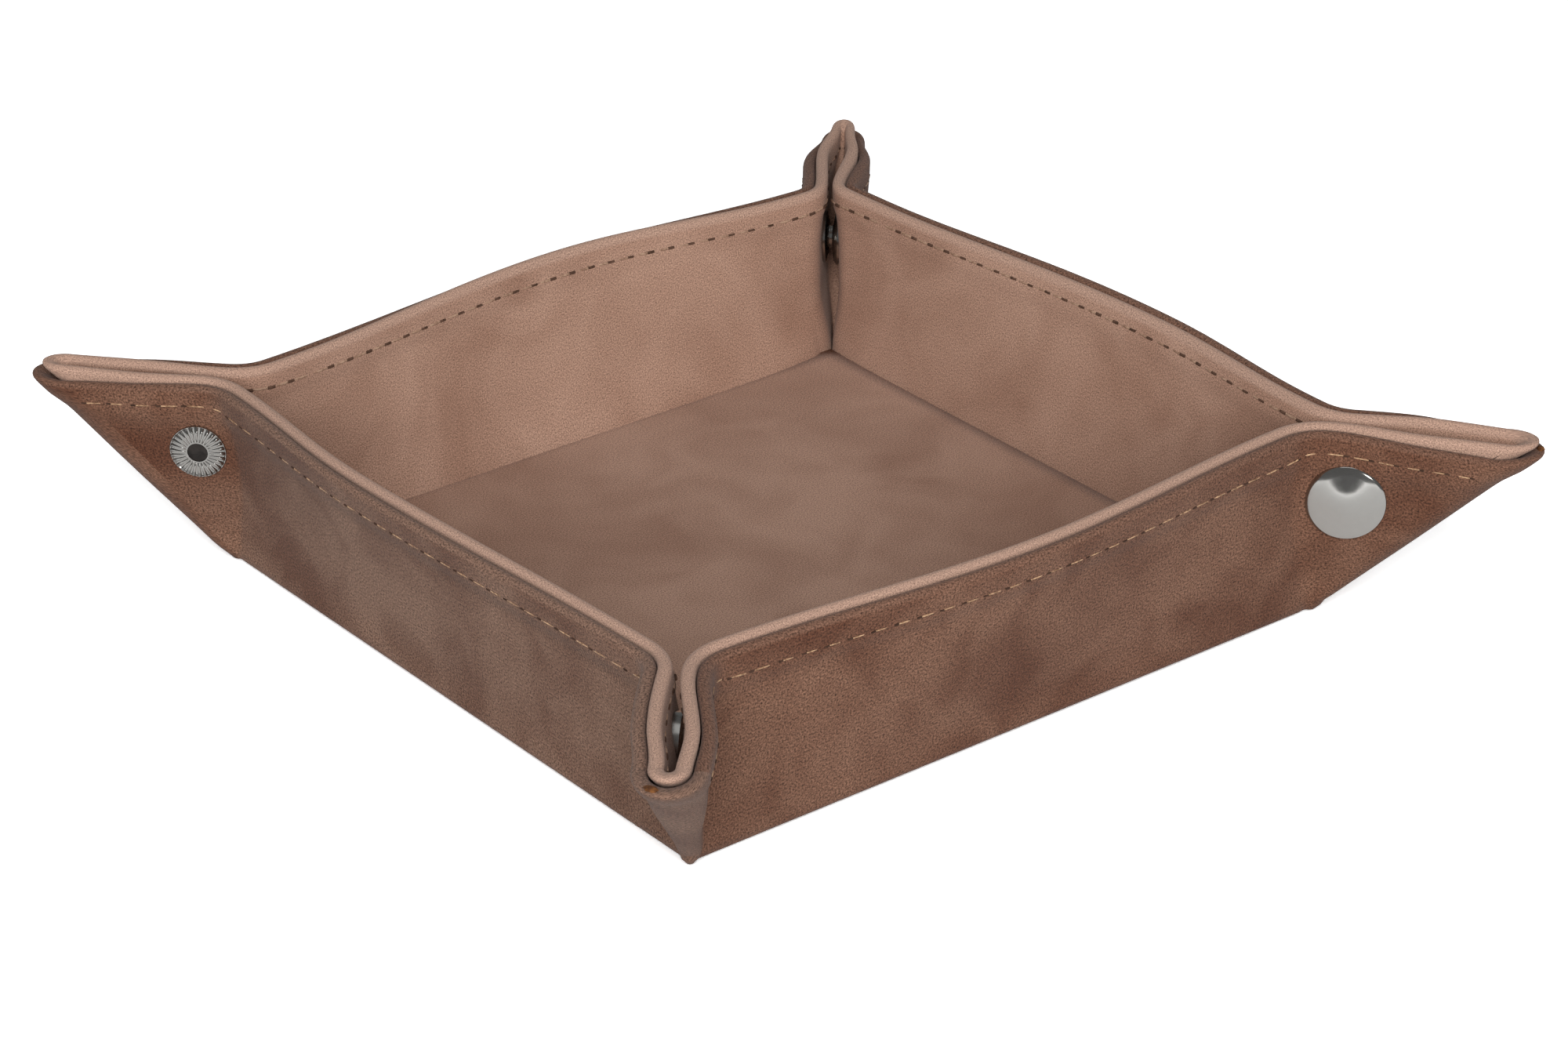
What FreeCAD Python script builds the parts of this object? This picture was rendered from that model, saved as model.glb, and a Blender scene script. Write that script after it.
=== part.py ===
import FreeCAD, Part
import os
import Sketcher

doc = FreeCAD.newDocument("valet_tray")
dims = doc.addObject("Spreadsheet::Sheet", "Dims")

# Sizes in mm. Derived cells are formulas, so a changed size moves everything that meets it.
cells = (
    ("base_x", "126"),
    ("base_y", "121"),
    ("tray_height", "33"),
    ("lining_t", "1.7"),
    ("groove", "0.15"),
    ("cover_t", "1.75"),
    ("skin_t", "1"),
    ("layer_gap", "0.05"),
    ("wall_bow", "5"),
    ("leaf_gap", "4"),
    ("play", "0.3"),
    ("bend_stop", "5.2"),
    ("snap_along", "10.6"),
    ("snap_height", "21.5"),
    ("wall_t", "=lining_t + groove + cover_t"),
    ("board_t", "=wall_t - 2 * skin_t - 2 * layer_gap"),
    ("half_x", "=base_x / 2 - wall_t"),
    ("half_y", "=base_y / 2 - wall_t"),
    ("inner_x", "=2 * half_x"),
    ("inner_y", "=2 * half_y"),
    ("board_x", "=inner_x - 1"),
    ("board_y", "=inner_y - 1"),
    ("wall_rise", "=tray_height - wall_t - play"),
    ("bend_radius_in", "=wall_t - skin_t"),
    ("bend_length_x", "=inner_x - 2 * bend_stop"),
    ("bend_length_y", "=inner_y - 2 * bend_stop"),
    ("crease_in", "=leaf_gap / sqrt(2)"),
    ("mitre_lining", "=lining_t * tan(22.5 deg) + play / 2"),
    ("mitre_cover", "=wall_t * tan(22.5 deg) + play / 2"),
    ("lining_long_x", "=inner_x - 2 * crease_in - 2 * mitre_lining"),
    ("lining_long_y", "=inner_y - 2 * crease_in - 2 * mitre_lining"),
    ("cover_long_x", "=inner_x - 2 * crease_in - 2 * mitre_cover"),
    ("cover_long_y", "=inner_y - 2 * crease_in - 2 * mitre_cover"),
    ("lining_arc_x", "=lining_long_x ^ 2 / (8 * wall_bow) + wall_bow / 2"),
    ("lining_arc_y", "=lining_long_y ^ 2 / (8 * wall_bow) + wall_bow / 2"),
    ("cover_arc_x", "=cover_long_x ^ 2 / (8 * wall_bow) + wall_bow / 2"),
    ("cover_arc_y", "=cover_long_y ^ 2 / (8 * wall_bow) + wall_bow / 2"),
    ("cap_leaf_low", "=crease_in + play"),
    ("cap_leaf_high", "=cap_leaf_low + wall_rise"),
    ("post_leaf_low", "=cap_leaf_low - play * sqrt(2)"),
    ("post_leaf_high", "=post_leaf_low + wall_rise"),
    ("snap_up", "=snap_height - wall_t - play"),
    ("fold_in", "=leaf_gap / 2 + lining_t + groove"),
    ("fold_out", "=leaf_gap / 2 + wall_t"),
    ("fold_foot", "=wall_t / 2"),
    ("fold_rise", "=tray_height - fold_foot"),
    ("fold_back", "=2 * wall_t"),
    ("fold_long", "=2 * tray_height"),
    ("fold_cap_turn", "90"),
    ("fold_post_turn", "84"),
    ("hole_r", "1.7"),
    ("post_hole_r", "2.3"),
    ("shank_r", "1.6"),
    ("shank_end", "0.5"),
    ("cap_seat", "=shank_end + wall_t + layer_gap"),
    ("cap_r", "6.35"),
    ("cap_lip", "=cap_seat + 0.7"),
    ("cap_top", "=cap_seat + 2.5"),
    ("cap_arc", "=(cap_r ^ 2 + (cap_top - cap_lip) ^ 2) / (2 * (cap_top - cap_lip))"),
    ("socket_hole_r", "=shank_r + 0.05"),
    ("socket_back", "=layer_gap"),
    ("socket_floor", "=shank_end + 0.15"),
    ("socket_bore_r", "2.7"),
    ("socket_r", "5.3"),
    ("socket_edge_r", "=socket_r - 0.9"),
    ("socket_shoulder", "1.5"),
    ("socket_top", "2.3"),
    ("tube_in_r", "1.7"),
    ("tube_out_r", "=post_hole_r - 0.1"),
    ("post_seat", "=shank_end + wall_t + layer_gap"),
    ("post_r", "5"),
    ("post_flange", "=post_seat + 0.6"),
    ("post_rim_r", "=tube_in_r + 1"),
    ("post_rim", "=post_seat + 1.1"),
    ("rib_in_r", "=post_rim_r + 0.1"),
    ("rib_out_r", "=post_r - 0.3"),
    ("rib_wide", "0.3"),
    ("rib_tall", "0.3"),
    ("rib_count", "28"),
    ("stud_back", "=layer_gap"),
    ("stud_floor", "=shank_end + 0.1"),
    ("stud_hole_r", "=tube_out_r + 0.05"),
    ("stud_r", "4.7"),
    ("stud_flange", "0.75"),
    ("stud_foot", "=stud_floor + 0.4"),
    ("stud_foot_r", "3.2"),
    ("neck_r", "1.5"),
    ("neck_top", "1.6"),
    ("ball_r", "1.8"),
    ("ball_low", "2.1"),
    ("ball_high", "2.6"),
    ("ball_tip_r", "1.2"),
    ("stud_top", "3.05"),
)
for row, (alias, text) in enumerate(cells, 1):
    dims.set("A%d" % row, alias)
    dims.set("B%d" % row, text)
    dims.setAlias("B%d" % row, alias)
doc.recompute()


def size(alias):
    return float(dims.get(alias))


def bind(obj, **sizes):
    for prop, alias in sizes.items():
        obj.setExpression(prop, "Dims." + alias)
    return obj


def primitive(kind, name, **sizes):
    return bind(doc.addObject("Part::" + kind, name), **sizes)


def origin_item(body, role):
    for item in body.Origin.OriginFeatures:
        if item.Role == role:
            return item


def coordinate(alias):
    return size(alias) if alias else 0.0


# Closed outline through points given as pairs of cell names, where None is zero. An edge listed in arcs is
# a circular arc of that radius cell, bulging to the left (1) or right (-1) of the way the outline runs.
def outline(body, name, plane, points, arcs=None, lift=None):
    arcs = arcs or {}
    sketch = body.newObject("Sketcher::SketchObject", name)
    sketch.AttachmentSupport = [(origin_item(body, plane), "")]
    sketch.MapMode = "FlatFace"
    if lift:
        sketch.setExpression("AttachmentOffset.Base.z", "Dims." + lift)
    spots = [FreeCAD.Vector(coordinate(a), coordinate(b), 0) for a, b in points]
    edges = []
    for i, spot in enumerate(spots):
        after = spots[(i + 1) % len(spots)]
        if i in arcs:
            alias, turn = arcs[i]
            way = (after - spot).normalize()
            side = FreeCAD.Vector(-way.y, way.x, 0) * turn
            half = spot.distanceToPoint(after) / 2
            crown = (spot + after) * 0.5 + side * (size(alias) - (size(alias) ** 2 - half ** 2) ** 0.5)
            index = sketch.addGeometry(Part.Arc(spot, crown, after), False)
            sketch.addConstraint(Sketcher.Constraint("Radius", index, size(alias)))
            sketch.setExpression("Constraints[%d]" % (sketch.ConstraintCount - 1), "Dims." + alias)
        else:
            index = sketch.addGeometry(Part.LineSegment(spot, after), False)
        first = sketch.getPoint(index, 1)
        second = sketch.getPoint(index, 2)
        forward = first.distanceToPoint(spot) < second.distanceToPoint(spot)
        edges.append((index, (1, 2) if forward else (2, 1)))
    for i, (index, ends) in enumerate(edges):
        following, next_ends = edges[(i + 1) % len(edges)]
        sketch.addConstraint(Sketcher.Constraint("Coincident", index, ends[1], following, next_ends[0]))
        for alias, kind, axis in ((points[i][0], "DistanceX", -2), (points[i][1], "DistanceY", -1)):
            if alias:
                sketch.addConstraint(Sketcher.Constraint(kind, index, ends[0], size(alias)))
                sketch.setExpression("Constraints[%d]" % (sketch.ConstraintCount - 1), "Dims." + alias)
            else:
                sketch.addConstraint(Sketcher.Constraint("PointOnObject", index, ends[0], axis))
    return sketch


def turned_piece(name, points, arcs=None):
    body = doc.addObject("PartDesign::Body", name)
    profile = outline(body, name + "_profile", "XZ_Plane", points, arcs)
    spin = body.newObject("PartDesign::Revolution", name + "_spin")
    spin.Profile = profile
    spin.ReferenceAxis = (profile, ["V_Axis"])
    spin.Angle = 360
    doc.recompute()
    return body


def axes(origin, x_way, y_way):
    z_way = x_way.cross(y_way)
    rows = [[x_way[i], y_way[i], z_way[i], origin[i]] for i in range(3)]
    return FreeCAD.Placement(FreeCAD.Matrix(*rows[0], *rows[1], *rows[2], 0, 0, 0, 1))


pieces = []


def finish(obj, label, place):
    obj.Label = label
    obj.Placement = place
    pieces.append(obj)


up = FreeCAD.Vector(0, 0, 1)
east = FreeCAD.Vector(1, 0, 0)
north = FreeCAD.Vector(0, 1, 0)


# Base: three flat layers.
def base_layer(label, long, wide, tall, height):
    box = primitive("Box", label, Length=long, Width=wide, Height=tall)
    finish(box, label, axes(FreeCAD.Vector(-size(long) / 2, -size(wide) / 2, height), east, north))


base_layer("base_cover", "inner_x", "inner_y", "skin_t", 0)
base_layer("base_board", "board_x", "board_y", "board_t", size("skin_t") + size("layer_gap"))
base_layer("base_lining", "inner_x", "inner_y", "skin_t", size("wall_t") - size("skin_t"))


# A layer of a wall: straight along the fold at its foot, bowed outward along its top edge.
def wall_layer(label, layer, axis, thick, place):
    body = doc.addObject("PartDesign::Body", label)
    long = layer + "_long_" + axis
    corners = [(None, None), (long, None), (long, thick), (None, thick)]
    arc = layer + "_arc_" + axis
    foot = outline(body, label + "_foot", "XY_Plane", corners)
    top = outline(body, label + "_top", "XY_Plane", corners, {0: (arc, 1), 2: (arc, -1)}, "wall_rise")
    loft = body.newObject("PartDesign::AdditiveLoft", label + "_loft")
    loft.Profile = foot
    loft.Sections = [top]
    loft.Ruled = True
    doc.recompute()
    finish(body, label, place)


# A layer of an ear leaf: a plate with one sloping edge along the corner fold, pierced for its snap.
def leaf_layer(label, mitre, kind, thick, hole, place):
    low = kind + "_leaf_low"
    high = kind + "_leaf_high"
    plate = primitive("Wedge", label + "_plate", Xmin=mitre, X2min=mitre, Xmax=low, X2max=high,
                      Ymax="wall_rise", Zmax=thick, Z2max=thick)
    plate.Ymin = 0
    plate.Zmin = 0
    plate.Z2min = 0
    drill = primitive("Cylinder", label + "_drill", Radius=hole, Height="wall_t")
    drill.setExpression("Placement.Base.x", "Dims.snap_along")
    drill.setExpression("Placement.Base.y", "Dims.snap_up")
    drill.Placement.Base.z = -0.5
    cut = doc.addObject("Part::Cut", label)
    cut.Base = plate
    cut.Tool = drill
    doc.recompute()
    finish(cut, label, place)


# One side of the round bend along a corner fold, cut level with the wall's top and above the base.
def fold_side(label, turn, spin, corner, place):
    rod = primitive("Cylinder", label + "_rod", Radius="fold_out", Height="fold_long", Angle=turn)
    core = primitive("Cylinder", label + "_core", Radius="fold_in", Height="fold_long", Angle=turn)
    shell = doc.addObject("Part::Cut", label + "_shell")
    shell.Base = rod
    shell.Tool = core
    block = primitive("Box", label + "_block", Length="fold_long", Width="fold_long", Height="fold_rise")
    reach = size("fold_long") / 2
    block.Placement.Base = FreeCAD.Vector(corner.x - reach, corner.y - reach, size("fold_foot"))
    trim = doc.addObject("Part::Common", label)
    trim.Base = shell
    trim.Tool = block
    doc.recompute()
    shell.Placement = spin
    doc.recompute()
    finish(trim, label, place)


# A wall is built as if it stood on the +Y side and is then turned to its own side. Seen from outside, its
# right end carries the cap and socket, its left end the ribbed post and stud.
root = 0.5 ** 0.5
for side, angle, axis in (("back", 0, "x"), ("left", 90, "y"), ("front", 180, "x"), ("right", 270, "y")):
    turn = FreeCAD.Placement(FreeCAD.Vector(), FreeCAD.Rotation(up, angle))
    reach = size("half_x" if axis == "x" else "half_y")
    depth = size("half_y" if axis == "x" else "half_x")
    floor = size("wall_t")
    foot = floor + size("play")
    inset = size("lining_t") + size("groove")

    bend_long = "bend_length_" + axis
    outer = primitive("Cylinder", side + "_bend_outer", Radius="wall_t", Height=bend_long)
    inner = primitive("Cylinder", side + "_bend_inner", Radius="bend_radius_in", Height=bend_long)
    outer.Angle = 90
    inner.Angle = 90
    bend = doc.addObject("Part::Cut", side + "_bend")
    bend.Base = outer
    bend.Tool = inner
    doc.recompute()
    start = FreeCAD.Vector(-size(bend_long) / 2, depth, floor)
    finish(bend, side + "_bend", turn * axes(start, -up, north))

    start = FreeCAD.Vector(-size("lining_long_" + axis) / 2, depth, foot)
    wall_layer(side + "_wall_lining", "lining", axis, "lining_t", turn * axes(start, east, north))
    start = FreeCAD.Vector(-size("cover_long_" + axis) / 2, depth + inset, foot)
    wall_layer(side + "_wall_cover", "cover", axis, "cover_t", turn * axes(start, east, north))

    for kind, hand in (("cap", -1), ("post", 1)):
        along = FreeCAD.Vector(hand * root, root, 0)
        out = FreeCAD.Vector(-hand * root, root, 0)
        crease = FreeCAD.Vector(hand * (reach - size("crease_in")), depth, foot)
        hole = "hole_r" if kind == "cap" else "post_hole_r"
        leaf = side + "_" + kind + "_leaf"
        lining_side = 0 if kind == "cap" else size("lining_t")
        cover_side = inset if kind == "cap" else floor
        place = turn * axes(crease + out * lining_side, along, up)
        leaf_layer(leaf + "_lining", "mitre_lining", kind, "lining_t", hole, place)
        place = turn * axes(crease + out * cover_side, along, up)
        leaf_layer(leaf + "_cover", "mitre_cover", kind, "cover_t", hole, place)

        centre = crease + along * size("snap_along") + up * size("snap_up")
        shank = turn * axes(centre - out * size("shank_end"), along, out.cross(along))
        inward = turn * axes(centre, along, along.cross(out))
        if kind == "cap":
            cap = turned_piece(side + "_snap_cap", [
                (None, None), ("shank_r", None), ("shank_r", "cap_seat"), ("cap_r", "cap_seat"),
                ("cap_r", "cap_lip"), (None, "cap_top")], {4: ("cap_arc", -1)})
            finish(cap, side + "_snap_cap", shank)
            socket = turned_piece(side + "_snap_socket", [
                ("socket_hole_r", "socket_back"), ("socket_r", "socket_back"),
                ("socket_r", "socket_shoulder"), ("socket_edge_r", "socket_top"),
                ("socket_bore_r", "socket_top"), ("socket_bore_r", "socket_floor"),
                ("socket_hole_r", "socket_floor")])
            finish(socket, side + "_snap_socket", inward)
            corner = FreeCAD.Vector(hand * reach, depth, 0)
            spot = crease + along * size("crease_in") - out * (size("leaf_gap") / 2)
            spot.z = floor
            run = (along + up) * root
            outward = (along - up) * root
            spot = spot - run * size("fold_back")
            fold_side(side + "_fold_cap_side", "fold_cap_turn", axes(spot, out, outward), corner, turn)
            lag = FreeCAD.Rotation(run, (90 - size("fold_post_turn")) / 2)
            spin = axes(spot, lag.multVec(outward), lag.multVec(-out))
            fold_side(side + "_fold_post_side", "fold_post_turn", spin, corner, turn)
        else:
            post = turned_piece(side + "_snap_post", [
                ("tube_in_r", None), ("tube_out_r", None), ("tube_out_r", "post_seat"),
                ("post_r", "post_seat"), ("post_r", "post_flange"), ("post_rim_r", "post_flange"),
                ("post_rim_r", "post_rim"), ("tube_in_r", "post_rim")])
            rib_shape = outline(post, side + "_rib_shape", "XY_Plane", [
                ("rib_in_r", None), ("rib_out_r", None),
                ("rib_out_r", "rib_wide"), ("rib_in_r", "rib_wide")], lift="post_flange")
            rib = post.newObject("PartDesign::Pad", side + "_rib")
            rib.Profile = rib_shape
            bind(rib, Length="rib_tall")
            doc.recompute()
            ribs = post.newObject("PartDesign::PolarPattern", side + "_ribs")
            ribs.Originals = [rib]
            ribs.Axis = (origin_item(post, "Z_Axis"), [""])
            ribs.Angle = 360
            bind(ribs, Occurrences="rib_count")
            post.Tip = ribs
            doc.recompute()
            finish(post, side + "_snap_post", shank)
            stud = turned_piece(side + "_snap_stud", [
                (None, "stud_floor"), ("stud_hole_r", "stud_floor"), ("stud_hole_r", "stud_back"),
                ("stud_r", "stud_back"), ("stud_r", "stud_flange"), ("stud_foot_r", "stud_foot"),
                ("neck_r", "stud_foot"), ("neck_r", "neck_top"), ("ball_r", "ball_low"),
                ("ball_r", "ball_high"), ("ball_tip_r", "stud_top"), (None, "stud_top")])
            finish(stud, side + "_snap_stud", inward)

doc.recompute()
for obj in doc.Objects:
    if "Invalid" in obj.State or "Error" in obj.State:
        raise RuntimeError("not computed: " + obj.Label)
os.makedirs("parts", exist_ok=True)
for piece in pieces:
    if piece.Shape.isNull() or not piece.Shape.isValid() or piece.Shape.Volume <= 0:
        raise RuntimeError("bad shape: " + piece.Label)
    piece.Shape.exportStep("parts/" + piece.Label + ".step")
print(len(pieces), "pieces")
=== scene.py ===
import math
import bmesh
import bpy
from mathutils import Matrix, Vector


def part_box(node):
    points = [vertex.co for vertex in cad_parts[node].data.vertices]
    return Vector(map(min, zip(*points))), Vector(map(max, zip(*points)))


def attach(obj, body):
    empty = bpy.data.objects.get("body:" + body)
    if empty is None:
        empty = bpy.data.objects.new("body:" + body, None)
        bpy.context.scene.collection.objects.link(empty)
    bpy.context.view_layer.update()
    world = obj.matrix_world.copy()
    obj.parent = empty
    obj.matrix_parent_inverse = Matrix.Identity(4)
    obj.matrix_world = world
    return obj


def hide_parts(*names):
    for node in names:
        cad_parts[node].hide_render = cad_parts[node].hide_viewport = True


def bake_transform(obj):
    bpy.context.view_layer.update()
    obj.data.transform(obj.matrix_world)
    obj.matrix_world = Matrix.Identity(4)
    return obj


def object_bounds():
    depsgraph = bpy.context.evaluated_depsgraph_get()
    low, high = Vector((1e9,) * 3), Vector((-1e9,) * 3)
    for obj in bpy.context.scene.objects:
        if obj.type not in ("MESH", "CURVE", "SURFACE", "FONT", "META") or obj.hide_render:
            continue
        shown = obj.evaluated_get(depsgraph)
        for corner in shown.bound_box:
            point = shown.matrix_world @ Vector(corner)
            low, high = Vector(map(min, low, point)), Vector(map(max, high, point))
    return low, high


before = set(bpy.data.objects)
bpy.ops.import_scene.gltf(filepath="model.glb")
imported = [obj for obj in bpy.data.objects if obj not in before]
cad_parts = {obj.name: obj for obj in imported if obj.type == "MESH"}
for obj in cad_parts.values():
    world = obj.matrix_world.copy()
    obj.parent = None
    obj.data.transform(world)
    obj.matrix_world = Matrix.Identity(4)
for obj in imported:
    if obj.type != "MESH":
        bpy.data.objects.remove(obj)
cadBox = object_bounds()

mm = 0.001
root2 = math.sqrt(2)

# inner sizes of the tray in mm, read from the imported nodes
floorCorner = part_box("base_lining")[1]
coverThick = 1.75
tray = {
    "halfX": floorCorner[0] / mm,
    "halfY": floorCorner[1] / mm,
    "floorZ": floorCorner[2] / mm,
    "topZ": cadBox[1][2] / mm,
    "thick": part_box("back_wall_cover")[0][1] / mm + coverThick - floorCorner[1] / mm,
    "sheetUnit": 100.0,  # one UV unit of the flat sheet, in mm
}

# a wall stands on +Y until it is turned to its side; its cap end is at -x, its post end at +x;
# crest is the arch of its top edge and sewn the depth of the lining's stitches below it
walls = {
    "back": {"turn": 0, "capLean": 0.8, "postLean": 2.4, "bow": 5.4, "bowAt": 0.12, "footIn": 2.2,
             "crest": 0.9, "coverDrop": 1.2, "sewn": 3.2},
    "left": {"turn": 90, "capLean": 3.4, "postLean": 4.0, "bow": 2.8, "bowAt": 0.3, "footIn": 0.4,
             "crest": 0.2, "coverDrop": 0.2, "sewn": 3.0},
    "front": {"turn": 180, "capLean": 0.3, "postLean": 0.3, "bow": 4.9, "bowAt": 0.0, "footIn": 0.4,
              "crest": 0.4, "coverDrop": 0.2, "sewn": 3.0},
    "right": {"turn": 270, "capLean": 2.4, "postLean": 5.5, "bow": 3.0, "bowAt": 0.3, "footIn": 0.5,
              "crest": 0.6, "coverDrop": -0.4, "sewn": 2.4},
}
wallRule = {
    "leanPower": 1.6, "bowGain": 1.1, "bowSoft": 0.1,  # how lean and bow grow with height
    "swellTall": 9.0, "swellPower": 6,  # the lining's swell above the floor
    "dropPower": 5,  # how near the top the cover drops
    "hemFrom": 2.6, "hemTo": 0.8,  # step of the hem below its stitches
    "liningSkin": 0.9, "liningEnd": 1.8, "split": (1.75, 1.85),  # depths where the lining ends
    "floorLap": 0.25,  # the wall lining starts a little below the floor's face
}
lastWall = {"back": "right", "left": "back", "front": "left", "right": "front"}

# ears are named for the wall whose cap end they belong to; neck, belly and tip are half the slit at the
# top and held is half of it at the snap, reach and slope give the outer line, the sways lean the ear
# towards its cap, droop lowers its tip and lip its cover, over is the lining past the cover's lip, and
# bendFoot and bendTop are the radius of the crease at the wall
ears = {
    "back": {"neck": 1.05, "belly": 1.6, "bellyAt": 0.5, "tip": 1.4, "held": 1.3, "pinch": 0.9,
             "reach": 5.3, "slope": 0.945, "neckSway": -0.4, "tipSway": 0.0, "droop": -0.6, "lip": 1.4,
             "over": 0.8, "bendFoot": 4.6, "bendTop": 9.5},
    "left": {"neck": 1.0, "belly": 1.95, "bellyAt": 0.62, "tip": 1.2, "held": 0.35, "pinch": 1.05,
             "reach": 4.0, "slope": 1.07, "neckSway": 1.6, "tipSway": -0.6, "droop": 1.6, "lip": 0.6,
             "over": 0.5, "bendFoot": 4.6, "bendTop": 9.5},
    "front": {"neck": 1.05, "belly": 2.4, "bellyAt": 0.6, "tip": 2.3, "held": 1.4, "pinch": 0.9,
              "reach": 4.3, "slope": 1.13, "neckSway": -1.2, "tipSway": -0.4, "droop": 1.4, "lip": 1.2,
              "over": 1.5, "bendFoot": 7.0, "bendTop": 9.5},
    "right": {"neck": 0.8, "belly": 1.9, "bellyAt": 0.6, "tip": 0.75, "held": 1.6, "pinch": 0.8,
              "reach": 3.9, "slope": 1.046, "neckSway": -1.1, "tipSway": -1.2, "droop": 0.0, "lip": 2.2,
              "over": 0.0, "bendFoot": 4.6, "bendTop": 6.5},
}
earRule = {
    "toe": 3.2, "toeIn": 3.0,  # the ear's foot rounds up from the base corner
    "hemOut": 1.0, "hemAt": (27.5, 30.5),  # the gathered hem stands out at the tip
    "footThick": 1.7, "slit": 0.04,  # leather and slit where the ear starts
    "seamIn": 9.0,  # where a wall panel stops short of the inner corner
    "open": (2, 16), "fill": (4, 24), "flare": (22, 32),  # heights where slit, leather and top widen
    "bendShare": 0.5, "leastBend": 0.35, "roomShare": 0.45, "leastRoom": 0.4,  # limits of the crease
    "pinchFrom": 0.45, "overFrom": 0.3, "overAt": (25, 32), "hangPower": 1.5,  # along the leaf
    "turnFrom": -8.9, "turnTo": 0.6,  # places from wall to leaf, past the inner corner
}
edgeBend = {"radius": 1.3, "skin": 0.9, "steps": 8, "columns": 40}
# face and back are depths from the lining's face, hem what the hem adds, rise the edge above the wall,
# and foldHalf half a width at the fold
layers = {
    "cover": {"face": 3.6, "hem": 0.45, "back": 1.86, "rise": 0.0, "sewn": 4.3, "earSewn": 3.3,
              "low": 0.25, "faceRows": 32, "foldHalf": 8.0},
    "lining": {"face": 0.0, "hem": -0.4, "back": 1.74, "rise": 0.45, "sewn": 3.0, "earSewn": 3.0,
               "low": 1.0, "faceRows": 28, "foldHalf": 2.5},
}
stitchPitch = 4.0
sheetMap = {"wallStep": 7.0, "liningAt": 40.0, "floorAt": (33.0, -12.0)}  # where each wall lies in UV
sharpAngle = {"sheet": 0.9, "metal": 0.7}
crownSteps = 10
backSteps = 6
slopeStep = 0.1


def clamp(value, low=0.0, high=1.0):
    return max(low, min(high, value))


def mix(a, b, t):
    return a + (b - a) * t


def smooth(a, b, x):
    t = clamp((x - a) / (b - a))
    return t * t * (3 - 2 * t)


def spans(side):
    if side in ("back", "front"):
        return tray["halfX"], tray["halfY"]
    return tray["halfY"], tray["halfX"]


def turned(side, x, y, z):
    angle = math.radians(walls[side]["turn"])
    c, s = round(math.cos(angle)), round(math.sin(angle))
    return Vector(((c * x - s * y) * mm, (s * x + c * y) * mm, z * mm))


def earOf(side, end):  # which way an end of a wall lies, and the ear that it belongs to
    if end == "cap":
        return -1, side
    return 1, lastWall[side]


def share(z):  # height above the floor as a part of the wall's height
    return clamp((z - tray["floorZ"]) / (tray["topZ"] - tray["floorZ"]))


def lift(side, x, z):  # how far a wall stands out at x along it, at height z
    wall = walls[side]
    u = clamp(x / spans(side)[0], -1, 1)
    lean = mix(wall["capLean"], wall["postLean"], (u + 1) / 2)
    away = u - wall["bowAt"]
    span = 1 - wall["bowAt"] if away > 0 else 1 + wall["bowAt"]
    bow = wall["bow"] * math.cos(math.pi / 2 * away / span) ** 2
    high = share(z)
    bow *= wallRule["bowGain"] * high ** 2 / (high + wallRule["bowSoft"])
    return lean * high ** wallRule["leanPower"] + bow


def footSwell(side, x, z):  # the lining rounds inward above the floor fold
    rise = clamp((z - tray["floorZ"]) / wallRule["swellTall"])
    u = clamp(x / spans(side)[0], -1, 1)
    return walls[side]["footIn"] * (1 - rise) ** 2 * (1 - abs(u) ** wallRule["swellPower"])


def crestLift(side, layer, x, z):  # the top edge arches between the corners, and the cover's less or more
    wall = walls[side]
    window = clamp(1 - (x / (spans(side)[0] - earRule["seamIn"])) ** 2) ** 2
    drop = wall["coverDrop"] * share(z) ** wallRule["dropPower"] if layer == "cover" else 0.0
    return window * (wall["crest"] * share(z) ** 2 - drop)


def faceDepth(layer, z):  # the hem is thicker than the wall below its stitches
    line = tray["topZ"] - layers[layer]["sewn"]
    step = smooth(line - wallRule["hemFrom"], line - wallRule["hemTo"], z)
    return layers[layer]["face"] + layers[layer]["hem"] * step


def footInset(z):  # the cover turns under along the base edge
    radius = edgeBend["radius"]
    rise = clamp(z, 0.0, radius)
    return radius - math.sqrt(radius * radius - (radius - rise) ** 2)


def earShape(ear, z):  # slit, thickness and fold line of an ear at one height
    sizes = ears[ear]
    grow = smooth(*earRule["open"], z)
    fill = smooth(*earRule["fill"], z)
    toe = math.sqrt(1 - (1 - clamp(z / earRule["toe"])) ** 2)
    squeeze = mix(earRule["footThick"] / tray["thick"], 1.0, fill) * toe
    flare = smooth(*earRule["flare"], z)
    shape = {name: mix(earRule["slit"], mix(sizes["held"], sizes[name], flare), grow)
             for name in ("neck", "belly", "tip")}
    shape["squeeze"] = squeeze
    shape["tipSqueeze"] = squeeze * mix(1.0, sizes["pinch"], fill)
    level = z - (sizes["droop"] + sizes["lip"]) * share(z)
    reach = sizes["reach"] + sizes["slope"] * level - earRule["toeIn"] * (1 - toe)
    reach += earRule["hemOut"] * smooth(*earRule["hemAt"], z)
    shape["foldAt"] = reach - root2 * (shape["tip"] + shape["tipSqueeze"] * faceDepth("cover", z))
    return shape


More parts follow.
